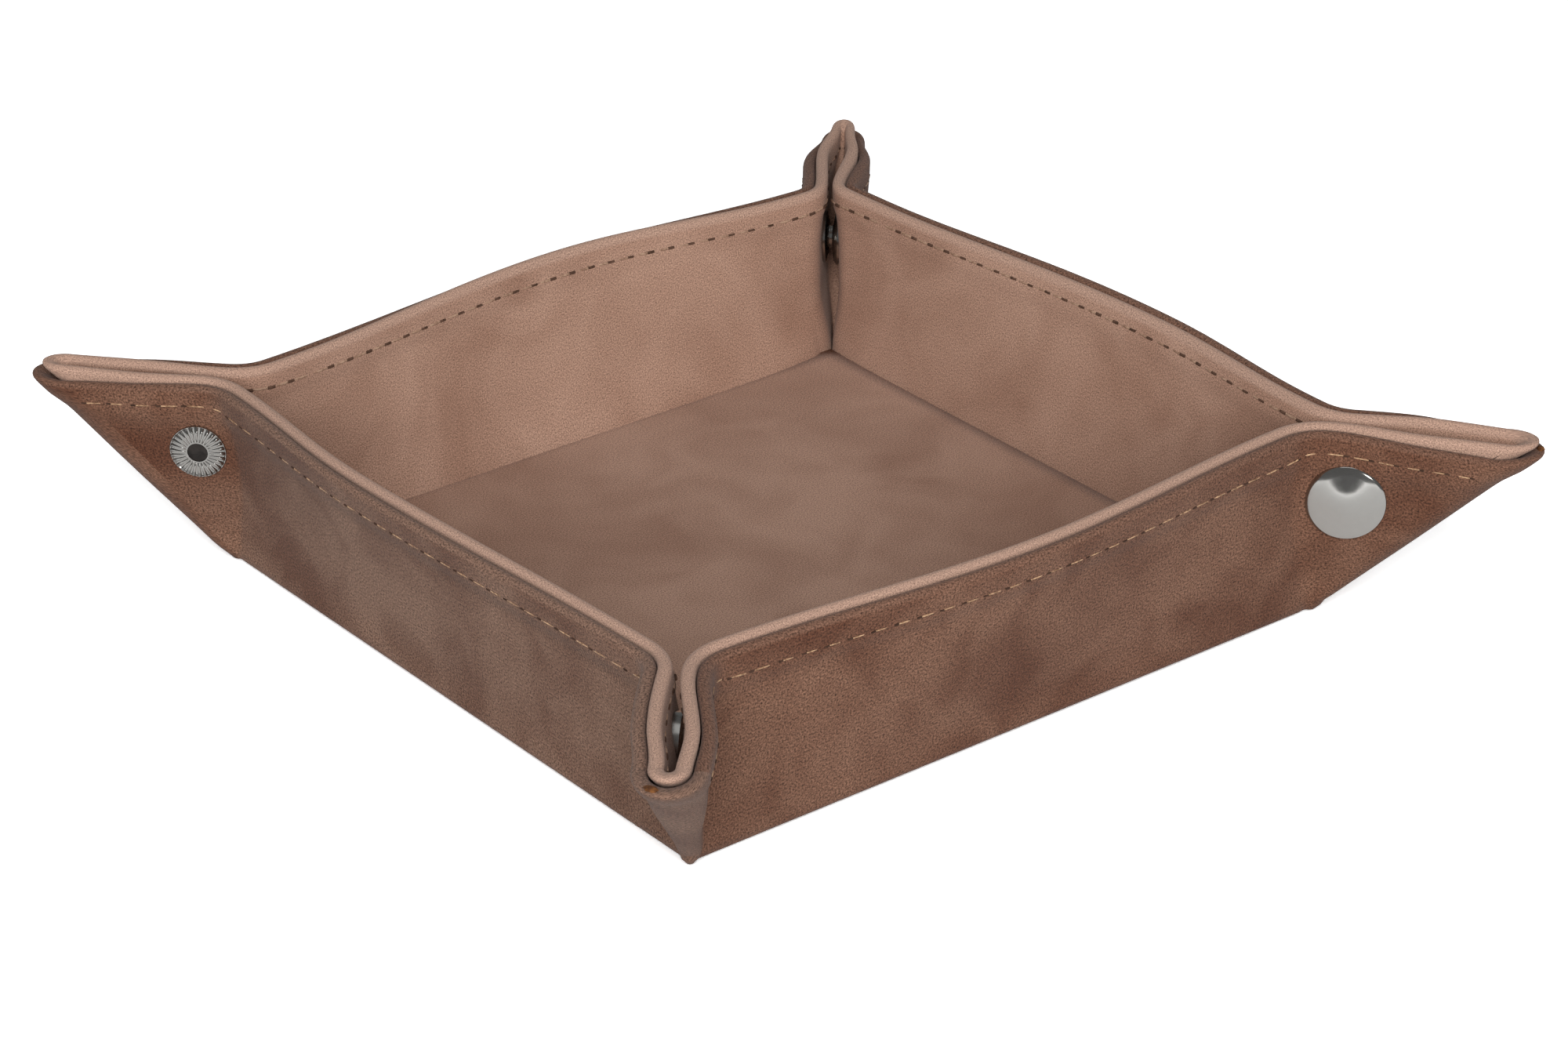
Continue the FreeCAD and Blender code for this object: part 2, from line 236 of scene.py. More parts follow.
# run of the sheet from a wall into an ear leaf, at one depth and height
def leafRun(side, end, out, z):
    hand, ear = earOf(side, end)
    reach = spans(side)[0]
    run = earShape(ear, z)
    run["neckShift"] = -hand * ears[ear]["neckSway"] * share(z)
    run["tipShift"] = -hand * ears[ear]["tipSway"] * share(z)
    run["wallOut"] = out - min(footInset(z), max(out, 0.0))
    run["creaseGap"] = run["neck"] + run["neckShift"] + run["squeeze"] * out
    stand = lift(side, hand * reach, z) + run["wallOut"]
    creaseT = root2 * stand - run["creaseGap"]
    radius = mix(ears[ear]["bendFoot"], ears[ear]["bendTop"], share(z) ** 3)
    run["tangent"] = max(earRule["bendShare"] * (radius - out), earRule["leastBend"])
    room = max(run["foldAt"] - creaseT, earRule["leastRoom"])
    run["lead"] = min(run["tangent"], earRule["roomShare"] * room)
    run["startX"] = reach + stand - root2 * run["creaseGap"] - run["tangent"]
    run["leafT"] = creaseT + run["lead"]
    run["foldT"] = creaseT + room
    return run


def leafGap(ear, run, out, q):  # half width of an ear at q along its leaf
    at = ears[ear]["bellyAt"]
    slit = mix(run["neck"], run["belly"], smooth(0, at, q))
    slit = mix(slit, run["tip"], smooth(at, 1, q))
    sway = mix(run["neckShift"], run["tipShift"], smooth(0, 1, q))
    thin = smooth(earRule["pinchFrom"], 1, q)
    return slit + sway + out * mix(run["squeeze"], run["tipSqueeze"], thin)


# a point of the folded sheet: out is its depth from the lining face, q runs 0 to 1 through a part
def sheetPoint(side, end, out, z, part, q):
    hand, ear = earOf(side, end)
    reach, depth = spans(side)
    run = leafRun(side, end, out, z)
    hang = ears[ear]["droop"] + ears[ear]["lip"] * smooth(*wallRule["split"], out)
    startX = run["startX"]
    if part == "wall":
        x = mix(reach - earRule["seamIn"], startX, q)
        return hand * x, depth + lift(side, hand * x, z) + run["wallOut"], z
    if part == "bend":
        startY = depth + lift(side, hand * startX, z) + run["wallOut"]
        ahead = lift(side, hand * (startX + slopeStep), z)
        slope = (ahead - lift(side, hand * (startX - slopeStep), z)) / (2 * slopeStep)
        pull = run["tangent"] + run["lead"]
        endX = reach + (run["leafT"] - run["creaseGap"]) / root2
        endY = depth + (run["leafT"] + run["creaseGap"]) / root2
        h0 = (1 + 2 * q) * (1 - q) ** 2
        h1 = q * (1 - q) ** 2
        h2 = q * q * (3 - 2 * q)
        h3 = q * q * (q - 1)
        x = h0 * startX + h1 * pull + h2 * endX + h3 * pull / root2
        y = h0 * startY + h1 * pull * slope + h2 * endY + h3 * pull / root2
        return hand * x, y, z
    if part == "leaf":
        t = mix(run["leafT"], run["foldT"], q)
        gap = leafGap(ear, run, out, q)
        hang *= q ** earRule["hangPower"]
    else:
        angle = math.pi * q
        around = run["tip"] + run["tipSqueeze"] * out
        t = run["foldT"] + root2 * around * math.sin(angle)
        gap = run["tipShift"] + around * math.cos(angle)
    if out < wallRule["liningEnd"]:
        over = ears[ear]["over"] * smooth(*earRule["overAt"], z)
        t += over * (smooth(earRule["overFrom"], 1, q) if part == "leaf" else 1.0)
    x = reach + (t - gap) / root2
    return hand * x, depth + (t + gap) / root2, z - hang * share(z)


# closed section of a layer: up its face, over the turned edge, down its back
def section(layer, low):
    sizes = layers[layer]
    edge = sizes["face"] + sizes["hem"]
    radius = abs(edge - sizes["back"]) / 2
    middle = (edge + sizes["back"]) / 2
    crown = tray["topZ"] + sizes["rise"] - radius
    toFace = -1 if layer == "lining" else 1
    rows = []
    for i in range(sizes["faceRows"]):
        z = mix(low, crown, i / sizes["faceRows"])
        rows.append((faceDepth(layer, z), z, z))
    for i in range(crownSteps + 1):
        angle = math.pi * i / crownSteps
        z = crown + radius * math.sin(angle)
        rows.append((middle + toFace * radius * math.cos(angle), z, crown + radius * angle))
    for i in range(1, backSteps + 1):
        z = mix(crown, low, i / backSteps)
        rows.append((sizes["back"], z, crown + radius * math.pi + crown - z))
    return rows


def addPiece(name, mesh):
    piece = bpy.data.objects.new(name, mesh)
    bpy.context.collection.objects.link(piece)
    return piece


def pieceFrom(name, bm, material):
    mesh = bpy.data.meshes.new(name)
    bm.to_mesh(mesh)
    bm.free()
    mesh.materials.append(material)
    return addPiece(name, mesh)


# skin a row of equal closed loops and cap both ends; uv pairs follow the points
def skinLoops(name, loops, uvs, material):
    bm = bmesh.new()
    uvLayer = bm.loops.layers.uv.new("sheet")
    rings = [[bm.verts.new(p) for p in loop] for loop in loops]
    place = {}
    for ring, coords in zip(rings, uvs):
        for vert, uv in zip(ring, coords):
            place[vert] = uv
    count = len(rings[0])
    for a, b in zip(rings, rings[1:]):
        for i in range(count):
            j = (i + 1) % count
            bm.faces.new((a[i], a[j], b[j], b[i]))
    ends = [bm.faces.new(rings[0]), bm.faces.new(rings[-1])]
    bmesh.ops.recalc_face_normals(bm, faces=bm.faces)
    for face in bm.faces:
        face.smooth = True
        for loop in face.loops:
            loop[uvLayer].uv = place[loop.vert]
    for face in ends:
        face.smooth = False
    for edge in bm.edges:
        edge.smooth = edge.calc_face_angle() < sharpAngle["sheet"]
    return pieceFrom(name, bm, material)


def sheetUv(side, layer, along, height):
    shift = list(walls).index(side) * sheetMap["wallStep"]
    if layer == "lining":
        shift += sheetMap["liningAt"]
    return along / tray["sheetUnit"] + shift, height / tray["sheetUnit"]


# columns are (part, q) pairs; along is measured on every row from the seam with the wall
def sheetStrip(name, side, end, layer, columns, low, material, alongStart):
    rows = section(layer, low)
    loops, uvs = [], []
    along = [alongStart(z) for out, z, run in rows]
    hand = earOf(side, end)[0]
    before = None
    for part, q in columns:
        spots = []
        for out, z, run in rows:
            x, y, height = sheetPoint(side, end, out, z, part, q)
            if layer == "lining" and out < wallRule["liningSkin"] and part == "wall":
                y -= footSwell(side, x, z)
            spots.append((x, y, height))
        if before:
            steps = [math.hypot(p[0] - b[0], p[1] - b[1]) for p, b in zip(spots, before)]
            along = [a + step for a, step in zip(along, steps)]
        loops.append([turned(side, *spot) for spot in spots])
        uvs.append([sheetUv(side, layer, hand * a, row[2]) for a, row in zip(along, rows)])
        before = spots
    return skinLoops(name, loops, uvs, material), along


print("frame read: inner floor %.1f x %.1f mm" % (2 * tray["halfX"], 2 * tray["halfY"]))


# materials
nodeGrid = {"row": 8, "across": 200, "down": -260}


def addNode(tree, kind, **values):
    down, across = divmod(len(tree.nodes), nodeGrid["row"])
    node = tree.nodes.new(kind)
    node.location = (across * nodeGrid["across"], down * nodeGrid["down"])
    for name, value in values.items():
        setattr(node, name, value)
    return node


def setInputs(node, **values):
    for name, value in values.items():
        node.inputs[name.replace("_", " ")].default_value = value


def wire(tree, *rows):  # each row is a node, its output, the next node and its input
    for source, output, target, entry in rows:
        tree.links.new(source.outputs[output], target.inputs[entry])


def addMath(tree, operation, *rest):  # rest are the values after the first
    node = addNode(tree, "ShaderNodeMath", operation=operation)
    for k, value in enumerate(rest, 1):
        node.inputs[k].default_value = value
    return node


def addRamp(tree, span, **values):
    node = addNode(tree, "ShaderNodeMapRange", **values)
    setInputs(node, From_Min=span[0], From_Max=span[1])
    return node


def groupTree(name, inputs, outputs):
    tree = bpy.data.node_groups.new(name, "ShaderNodeTree")
    for label, kind, value in inputs:
        socket = tree.interface.new_socket(label, in_out="INPUT", socket_type=kind)
        if value is not None:
            socket.default_value = value
    for label in outputs:
        tree.interface.new_socket(label, in_out="OUTPUT", socket_type="NodeSocketFloat")
    return tree, addNode(tree, "NodeGroupInput"), addNode(tree, "NodeGroupOutput")


clouds = {"rubScale": 2.7, "rubShare": 0.35, "spread": (0.39, 0.61), "fleck": (0.28, 0.72)}


def suedeGroup():  # soft clouds with rubbed patches, and the short nap of a brushed leather
    tree, source, result = groupTree("suedeNap", (
        ("Vector", "NodeSocketVector", None), ("Cloud Scale", "NodeSocketFloat", 3.0),
        ("Nap Scale", "NodeSocketFloat", 220.0)), ("Clouds", "Nap"))
    cloud = addNode(tree, "ShaderNodeTexNoise")
    setInputs(cloud, Detail=3.5, Roughness=0.55, Distortion=0.5)
    rub = addNode(tree, "ShaderNodeTexNoise")
    setInputs(rub, Detail=2.0, Roughness=0.5, Distortion=1.2)
    rubScale = addMath(tree, "MULTIPLY", clouds["rubScale"])
    both = addNode(tree, "ShaderNodeMix")
    both.inputs["Factor"].default_value = clouds["rubShare"]
    spread = addRamp(tree, clouds["spread"])
    nap = addNode(tree, "ShaderNodeTexNoise")
    setInputs(nap, Detail=3.0, Roughness=0.7)
    for noise in (cloud, rub, nap):
        wire(tree, (source, "Vector", noise, "Vector"))
    wire(tree, (source, "Cloud Scale", cloud, "Scale"), (source, "Cloud Scale", rubScale, 0),
         (rubScale, 0, rub, "Scale"), (source, "Nap Scale", nap, "Scale"),
         (cloud, "Fac", both, "A"), (rub, "Fac", both, "B"), (both, "Result", spread, "Value"),
         (spread, "Result", result, "Clouds"))
    fleck = addRamp(tree, clouds["fleck"])
    wire(tree, (nap, "Fac", fleck, "Value"), (fleck, "Result", result, "Nap"))
    return tree


def bandGroup():  # 0 to 1 across two heights of the sheet
    tree, source, result = groupTree("sheetBand", (
        ("Vector", "NodeSocketVector", None), ("From", "NodeSocketFloat", 0.3),
        ("To", "NodeSocketFloat", 0.32)), ("Mask",))
    split = addNode(tree, "ShaderNodeSeparateXYZ")
    ramp = addNode(tree, "ShaderNodeMapRange", interpolation_type="SMOOTHSTEP")
    wire(tree, (source, "Vector", split, 0), (split, "Y", ramp, "Value"),
         (source, "From", ramp, "From Min"), (source, "To", ramp, "From Max"),
         (ramp, "Result", result, "Mask"))
    return tree


ticked = {"sharp": (0.72, 0.95), "patch": (0.42, 0.56), "wall": 1, "half": 0.75}


def tickGroup():  # fine upright creases in patches, on the left wall alone; the mask darkens the colour as painted shade and dents the nap
    tree, source, result = groupTree("creaseTicks", (
        ("Vector", "NodeSocketVector", None), ("Band", "NodeSocketFloat", 1.0)), ("Ticks",))
    lines = addNode(tree, "ShaderNodeTexWave", wave_type="BANDS", bands_direction="X")
    setInputs(lines, Scale=52.0, Distortion=5.0, Detail=1.0, Detail_Scale=0.35)
    sharp = addRamp(tree, ticked["sharp"])
    spots = addNode(tree, "ShaderNodeTexNoise")
    setInputs(spots, Scale=4.3, Detail=1.0)
    patch = addRamp(tree, ticked["patch"])
    split = addNode(tree, "ShaderNodeSeparateXYZ")
    wall = addMath(tree, "COMPARE", ticked["wall"] * sheetMap["wallStep"], ticked["half"])
    steps = [addMath(tree, "MULTIPLY") for k in range(3)]
    wire(tree, (source, "Vector", lines, "Vector"), (source, "Vector", spots, "Vector"),
         (source, "Vector", split, 0), (split, "X", wall, 0), (lines, "Fac", sharp, "Value"),
         (spots, "Fac", patch, "Value"), (sharp, "Result", steps[0], 0),
         (patch, "Result", steps[0], 1), (source, "Band", steps[1], 1), (wall, 0, steps[2], 1))
    for before, after in zip(steps, steps[1:]):
        wire(tree, (before, 0, after, 0))
    wire(tree, (steps[2], 0, result, "Ticks"))
    return tree


# spans in UV of the painted shade towards the ears and of the painted sheen on the left wall
coverLightSpans = {"ends": (0.25, 0.75), "sheenFrom": (5.0, 5.6), "sheenTo": (7.72, 7.4)}


# ends run from 0 in the middle of a wall to 1 out on its ears, a mask for painted shade; the second mask
# covers the left wall and front ear, for painted sheen
def endGroup():
    tree, source, result = groupTree("wallEnds", (
        ("Vector", "NodeSocketVector", None),), ("ShadedEnds", "PaintedSheen"))
    split = addNode(tree, "ShaderNodeSeparateXYZ")
    wrap = addMath(tree, "WRAP", sheetMap["wallStep"] / 2, -sheetMap["wallStep"] / 2)
    away = addMath(tree, "ABSOLUTE")
    ramp = addRamp(tree, coverLightSpans["ends"], interpolation_type="SMOOTHSTEP")
    wire(tree, (source, "Vector", split, 0), (split, "X", wrap, 0), (wrap, 0, away, 0),
         (away, 0, ramp, "Value"), (ramp, "Result", result, "ShadedEnds"))
    start = addRamp(tree, coverLightSpans["sheenFrom"], interpolation_type="SMOOTHSTEP")
    stop = addRamp(tree, coverLightSpans["sheenTo"], interpolation_type="SMOOTHSTEP")
    within = addMath(tree, "MULTIPLY")
    wire(tree, (split, "X", start, "Value"), (split, "X", stop, "Value"),
         (start, "Result", within, 0), (stop, "Result", within, 1), (within, 0, result, "PaintedSheen"))
    return tree


suedeNap = suedeGroup()
sheetBand = bandGroup()
creaseTicks = tickGroup()
wallEnds = endGroup()


def newMaterial(name):
    material = bpy.data.materials.new(name)
    material.use_nodes = True
    tree = material.node_tree
    tree.nodes.clear()
    shader = addNode(tree, "ShaderNodeBsdfPrincipled")
    result = addNode(tree, "ShaderNodeOutputMaterial")
    wire(tree, (shader, "BSDF", result, "Surface"))
    return material, tree, shader


def placeGroup(tree, group, **values):
    node = addNode(tree, "ShaderNodeGroup", node_tree=group)
    setInputs(node, **values)
    return node


def colourMix(tree, a, b):
    node = addNode(tree, "ShaderNodeMix", data_type="RGBA")
    if a is not None:
        node.inputs["A"].default_value = (*a, 1)
    if b is not None:
        node.inputs["B"].default_value = (*b, 1)
    return node


suede = {
    "cover": {"dark": (0.091, 0.037, 0.0213), "light": (0.169, 0.088, 0.0575),
              "edge": (0.14, 0.073, 0.049), "grain": 1.0, "cloudScale": 2.6, "napScale": 300.0,
              "bump": 0.25, "roughness": 0.84},
    "lining": {"dark": (0.252, 0.144, 0.101), "light": (0.338, 0.209, 0.153),
               "edge": (0.34, 0.217, 0.163), "grain": 0.7, "cloudScale": 2.1, "napScale": 420.0,
               "bump": 0.22, "roughness": 0.87},
}
suedeRule = {"edgeFrom": 0.012, "edgeTo": 0.004, "napTall": 0.0004, "smoother": 0.1, "rougher": 0.06,
             "sheen": 0.06, "sheenRoughness": 0.5, "specular": 0.15}
# painted light on the cover: ends darkens towards the ears as painted shade, rubbed lightens and greys
# the left wall as painted sheen, crease darkens the creases as painted shade
coverShading = {"ends": (0.88, 0.86, 0.85), "sheenTint": (1.14, 1.28, 1.36), "crease": (0.06, 0.028, 0.018),
             "creaseShare": 0.75, "creaseTop": (0.004, 0.012), "creaseFoot": (0.042, 0.03)}


def coverPaintedLight(tree, sheet, nap, colour):  # darker ends as painted shade, the left wall lighter as painted sheen, and creases darkened as painted shade, on the outside
    hem = (tray["topZ"] - layers["cover"]["sewn"]) / tray["sheetUnit"]
    ends = placeGroup(tree, wallEnds)
    wire(tree, (sheet, "UV", ends, "Vector"))
    # painted shade: the cover darkens towards the ears
    endShade = colourMix(tree, (1.0, 1.0, 1.0), coverShading["ends"])
    wire(tree, (ends, "ShadedEnds", endShade, "Factor"))
    # painted sheen: the left wall and the front ear are tinted lighter and greyer
    sheenTint = colourMix(tree, None, coverShading["sheenTint"])
    wire(tree, (ends, "PaintedSheen", sheenTint, "Factor"), (endShade, "Result", sheenTint, "A"))
    darker = colourMix(tree, None, None)
    darker.blend_type = "MULTIPLY"
    darker.inputs["Factor"].default_value = 1.0
    wire(tree, (colour, "Result", darker, "A"), (sheenTint, "Result", darker, "B"))
    both = addMath(tree, "MULTIPLY")
    for k, edge in enumerate(("creaseFoot", "creaseTop")):
        first, last = coverShading[edge]
        band = placeGroup(tree, sheetBand, From=hem - first, To=hem - last)
        wire(tree, (sheet, "UV", band, "Vector"), (band, "Mask", both, k))
    ticks = placeGroup(tree, creaseTicks)
    wire(tree, (both, 0, ticks, "Band"), (sheet, "UV", ticks, "Vector"))
    # painted shade: the creases are darkened in colour
    creased = colourMix(tree, None, coverShading["crease"])
    strength = addMath(tree, "MULTIPLY", coverShading["creaseShare"])
    wire(tree, (ticks, "Ticks", strength, 0), (strength, 0, creased, "Factor"),
         (darker, "Result", creased, "A"))
    dent = addMath(tree, "SUBTRACT")
    wire(tree, (nap, "Nap", dent, 0), (ticks, "Ticks", dent, 1))
    return creased, (dent, 0)


def suedeMaterial(layer):
    look = suede[layer]
    material, tree, shader = newMaterial(layer + "Suede")
    sheet = addNode(tree, "ShaderNodeUVMap", uv_map="sheet")
    top = tray["topZ"] / tray["sheetUnit"]
    nap = placeGroup(tree, suedeNap, Cloud_Scale=look["cloudScale"], Nap_Scale=look["napScale"])
    edge = placeGroup(tree, sheetBand, From=top - suedeRule["edgeFrom"], To=top - suedeRule["edgeTo"])
    wire(tree, (sheet, "UV", nap, "Vector"), (sheet, "UV", edge, "Vector"))
    base = colourMix(tree, look["dark"], look["light"])
    wire(tree, (nap, "Clouds", base, "Factor"))
    turnedEdge = colourMix(tree, None, look["edge"])
    wire(tree, (edge, "Mask", turnedEdge, "Factor"), (base, "Result", turnedEdge, "A"))
    grain = colourMix(tree, None, None)
    grain.blend_type = "OVERLAY"
    grain.inputs["Factor"].default_value = look["grain"]
    wire(tree, (turnedEdge, "Result", grain, "A"), (nap, "Nap", grain, "B"))
    colour, height = grain, (nap, "Nap")
    if layer == "cover":
        colour, height = coverPaintedLight(tree, sheet, nap, grain)
    bump = addNode(tree, "ShaderNodeBump")
    setInputs(bump, Strength=look["bump"], Distance=suedeRule["napTall"])
    rough = addNode(tree, "ShaderNodeMapRange")
    setInputs(rough, To_Min=look["roughness"] - suedeRule["smoother"],
              To_Max=look["roughness"] + suedeRule["rougher"])
    wire(tree, (nap, "Clouds", rough, "Value"), (*height, bump, "Height"),
         (colour, "Result", shader, "Base Color"), (rough, "Result", shader, "Roughness"),
         (bump, "Normal", shader, "Normal"))
    setInputs(shader, Sheen_Weight=suedeRule["sheen"], Sheen_Roughness=suedeRule["sheenRoughness"],
              Specular_IOR_Level=suedeRule["specular"])
    return material


metals = {
    "nickelCap": {"colour": (0.46, 0.45, 0.43), "roughness": 0.12},
    "nickelRing": {"colour": (0.44, 0.43, 0.41), "roughness": 0.2},
}
haze = {"scale": 900.0, "detail": 3.0, "tone": 0.92, "smoother": 0.05, "rougher": 0.06}


def metalMaterial(name):
    look = metals[name]
    material, tree, shader = newMaterial(name)
    coords = addNode(tree, "ShaderNodeTexCoord")
    noise = addNode(tree, "ShaderNodeTexNoise")
    setInputs(noise, Scale=haze["scale"], Detail=haze["detail"])
    rough = addNode(tree, "ShaderNodeMapRange")
    setInputs(rough, To_Min=look["roughness"] - haze["smoother"],
              To_Max=look["roughness"] + haze["rougher"])
    tone = colourMix(tree, look["colour"], tuple(haze["tone"] * c for c in look["colour"]))
    wire(tree, (coords, "Object", noise, "Vector"), (noise, "Fac", rough, "Value"),
         (noise, "Fac", tone, "Factor"), (tone, "Result", shader, "Base Color"),
         (rough, "Result", shader, "Roughness"))
    setInputs(shader, Metallic=1.0)
    return material


fibres = {
    "goldThread": {"dark": (0.17, 0.09, 0.045), "light": (0.52, 0.33, 0.19),
                   "roughness": 0.4, "scale": 1600.0},
    "tanThread": {"dark": (0.20, 0.115, 0.075), "light": (0.36, 0.235, 0.165),
                  "roughness": 0.6, "scale": 1600.0},
    # dark marks standing for the needle holes: painted shade
    "softHoleShade": {"dark": (0.05, 0.026, 0.016), "light": (0.09, 0.048, 0.032),
                 "roughness": 0.95, "scale": 900.0},
    "needleHoleShade": {"dark": (0.03, 0.015, 0.009), "light": (0.055, 0.028, 0.018),
                   "roughness": 0.95, "scale": 900.0},
    "rawEdge": {"dark": (0.07, 0.026, 0.009), "light": (0.17, 0.066, 0.02),
                "roughness": 0.9, "scale": 1200.0},
    "greyBoard": {"dark": (0.30, 0.26, 0.21), "light": (0.42, 0.37, 0.30),
                  "roughness": 0.95, "scale": 400.0},
    # a near-black disc in the post's bore: painted shade
    "boreShadeBlack": {"dark": (0.010, 0.008, 0.007), "light": (0.022, 0.018, 0.016),
                 "roughness": 0.8, "scale": 700.0},
}
fibreRule = {"detail": 2.0, "twist": 0.6, "spread": (0.35, 0.65), "bump": 0.3, "tall": 0.0002}


def fibreMaterial(name):
    look = fibres[name]
    material, tree, shader = newMaterial(name)
    coords = addNode(tree, "ShaderNodeTexCoord")
    strands = addNode(tree, "ShaderNodeTexNoise")
    setInputs(strands, Scale=look["scale"], Detail=fibreRule["detail"], Distortion=fibreRule["twist"])
    tone = colourMix(tree, look["dark"], look["light"])
    spread = addRamp(tree, fibreRule["spread"])
    bump = addNode(tree, "ShaderNodeBump")
    setInputs(bump, Strength=fibreRule["bump"], Distance=fibreRule["tall"])
    wire(tree, (coords, "Object", strands, "Vector"), (strands, "Fac", spread, "Value"),
         (spread, "Result", tone, "Factor"), (strands, "Fac", bump, "Height"),
         (tone, "Result", shader, "Base Color"), (bump, "Normal", shader, "Normal"))
    setInputs(shader, Roughness=look["roughness"])
    return material


leather = {layer: suedeMaterial(layer) for layer in layers}
metal = {name: metalMaterial(name) for name in metals}
fibre = {name: fibreMaterial(name) for name in fibres}
print("materials ready")


def paintNode(name, material):  # a node that is shown as it is
    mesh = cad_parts[name].data
    mesh.materials.clear()
    mesh.materials.append(material)


# base: floor lining and underside as softly edged panels, with the board between them
panels = {
    "base_lining": {"layer": "lining", "steps": 36, "sag": 0.35},
    "base_cover": {"layer": "cover", "steps": 24, "sag": 0.0},
}
hollow = {"rimPower": 24, "rimDrop": 0.03, "waveX": 2.1, "startX": 0.4, "waveY": 2.6, "startY": -0.7}


def basePanel(node):
    values = panels[node]
    low, high = (Vector(c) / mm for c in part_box(node))
    steps = values["steps"]
    bm = bmesh.new()
    uvLayer = bm.loops.layers.uv.new("sheet")
    grid = {}
    for face in (0, 1):
        for i in range(steps + 1):
            for j in range(steps + 1):
                u, v = 2 * i / steps - 1, 2 * j / steps - 1
                rim = max(abs(u), abs(v)) ** hollow["rimPower"]
                wave = math.sin(hollow["waveX"] * u + hollow["startX"])
                wave *= math.sin(hollow["waveY"] * v + hollow["startY"])
                sag = min(values["sag"] * wave * (1 - rim), 0.0)
                z = (high.z + sag - hollow["rimDrop"] * rim) if face else low.z
                grid[face, i, j] = bm.verts.new((high.x * u * mm, high.y * v * mm, z * mm))
    for i in range(steps):
        for j in range(steps):
            for face in (0, 1):
                corners = [grid[face, i + a, j + b] for a, b in ((0, 0), (1, 0), (1, 1), (0, 1))]
                bm.faces.new(corners if face else corners[::-1])
    for k in range(steps):
        for a, b in (((k, 0), (k + 1, 0)), ((steps, k), (steps, k + 1)),
                     ((k + 1, steps), (k, steps)), ((0, k + 1), (0, k))):
            bm.faces.new((grid[(0, *a)], grid[(0, *b)], grid[(1, *b)], grid[(1, *a)]))
    bmesh.ops.recalc_face_normals(bm, faces=bm.faces)
    for face in bm.faces:
        face.smooth = abs(face.normal.z) > 0.5
        for loop in face.loops:
            spot = loop.vert.co / mm / tray["sheetUnit"]
            loop[uvLayer].uv = (spot.x + sheetMap["floorAt"][0], spot.y + sheetMap["floorAt"][1])
    piece = pieceFrom("floor_" + values["layer"], bm, leather[values["layer"]])
    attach(piece, "base")
    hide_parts(node)


for node in panels:
    basePanel(node)
paintNode("base_board", fibre["greyBoard"])
print("base ready")


# round bend of the cover along each base edge
def makeEdgeBend(side):
    reach, depth = spans(side)
    half = reach - earRule["seamIn"]
    outer = layers["cover"]["face"]
    floorZ = tray["floorZ"]
    centre = outer - edgeBend["radius"]
    ring = []
    for radius, way in ((edgeBend["radius"], 1), (edgeBend["radius"] - edgeBend["skin"], -1)):
        line = [(0.0, edgeBend["radius"] - radius)]
        for i in range(edgeBend["steps"] + 1):
            angle = math.pi / 2 * i / edgeBend["steps"]
            drop = edgeBend["radius"] - radius * math.cos(angle)
            line.append((centre + radius * math.sin(angle), drop))
        line.append((centre + radius, floorZ))
        ring += line[::way]
    heights = [z - (outer - y) for y, z in ring]
    loops, uvs = [], []
    for k in range(edgeBend["columns"] + 1):
        x = mix(-half, half, k / edgeBend["columns"])
        loops.append([turned(side, x, depth + y, z) for y, z in ring])
        uvs.append([sheetUv(side, "cover", x, height) for height in heights])
    piece = skinLoops(side + "_edge_bend", loops, uvs, leather["cover"])
    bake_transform(piece)
    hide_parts(side + "_bend")


for side in walls:
    makeEdgeBend(side)


# wall panels, flat ear leaves bent out of them, and the round fold at each ear's tip
columns = {"panel": 72, "wall": 6, "bend": 16, "leaf": 24, "fold": 32}
turnColumns = [(part, i / columns[part]) for part in ("wall", "bend") for i in range(columns[part])]
leafColumns = turnColumns + [("leaf", i / columns["leaf"]) for i in range(columns["leaf"] + 1)]
foldColumns = [("fold", i / columns["fold"]) for i in range(columns["fold"] + 1)]


def makeWall(side, layer):
    reach, depth = spans(side)
    half = reach - earRule["seamIn"]
    rows = section(layer, tray["floorZ"] - (wallRule["floorLap"] if layer == "lining" else 0.0))
    loops, uvs = [], []
    for k in range(columns["panel"] + 1):
        x = mix(-half, half, k / columns["panel"])
        points = []
        for out, z, run in rows:
            y = depth + lift(side, x, z) + out
            if layer == "lining" and out < wallRule["liningSkin"]:
                y -= footSwell(side, x, z)
            points.append(turned(side, x, y, z + crestLift(side, layer, x, z)))
        loops.append(points)
        uvs.append([sheetUv(side, layer, x, run) for out, z, run in rows])
    piece = skinLoops(side + "_panel_" + layer, loops, uvs, leather[layer])
    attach(piece, side + "_wall")
    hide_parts(side + "_wall_" + layer)


def bendWithLeaf(piece):  # the piece's placing is baked into its mesh
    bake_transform(piece)


def makeLeaf(side, end, layer):
    seam = spans(side)[0] - earRule["seamIn"]
    piece, along = sheetStrip("_".join((side, end, "ear", layer)), side, end, layer, leafColumns,
                              layers[layer]["low"], leather[layer], lambda z: seam)
    bendWithLeaf(piece)
    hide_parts("_".join((side, end, "leaf", layer)))
    return along


def bendWithFold(piece):  # the piece's placing is baked into its mesh
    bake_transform(piece)


def makeFold(side, layer, along):
    low = layers[layer]["low"]
    starts = dict(zip((row[1] for row in section(layer, low)), along))
    piece = sheetStrip(side + "_ear_fold_" + layer, side, "cap", layer, foldColumns, low,
                       leather[layer], lambda z: starts[z])[0]
    bendWithFold(piece)
    if layer == "cover":
        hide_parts(side + "_fold_cap_side", side + "_fold_post_side")


for side in walls:
    for layer in layers:
        makeWall(side, layer)
        makeLeaf(side, "post", layer)
        makeFold(side, layer, makeLeaf(side, "cap", layer))
print("walls and ears ready")


# raw leather showing at the lip of the two front ears
rawTips = {"left": {"at": 0.36, "long": 1.1, "wide": 0.75, "tall": 0.3},
           "front": {"at": 0.5, "long": 0.9, "wide": 0.6, "tall": 0.3}}
ragged = {"depth": 0.13, "aheadBy": 0.02, "divisions": 3}


